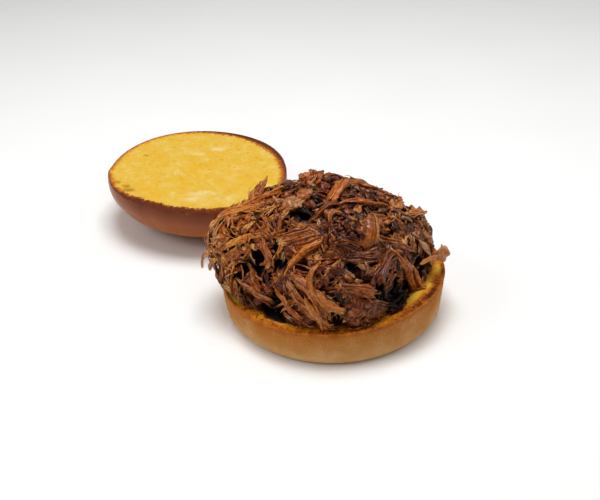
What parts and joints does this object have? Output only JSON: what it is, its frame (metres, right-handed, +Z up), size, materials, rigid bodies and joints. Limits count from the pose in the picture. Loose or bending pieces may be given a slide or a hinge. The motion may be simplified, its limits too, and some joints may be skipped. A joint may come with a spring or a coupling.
{
  "type": "open pulled pork sandwich on a round brioche bun",
  "caption": "Open sandwich: a heap of saucy shredded pork on the heel of a round toasted bun, with the crown lying cut side up beside it.",
  "frame": {"origin": "middle of the heel's flat underside, on the surface that the sandwich lies on", "axes": "+X from the crown to the heel, +Z up"},
  "size_m": [0.2341, 0.1138, 0.0702],
  "materials": {
    "bun_heel": "toasted brioche: tan crust on the wall, buttery golden brown on the cut face",
    "bun_crown": "brioche: glazed red-brown crust outside, soft yellow crumb on the cut face",
    "pork": "shredded roast pork in a thin glossy barbecue sauce, orange-brown to nearly black"
  },
  "bodies": {
    "root": {"heel": "bun_heel", "crown": "bun_crown", "pork_heap": "pork"}
  },
  "joints": []
}
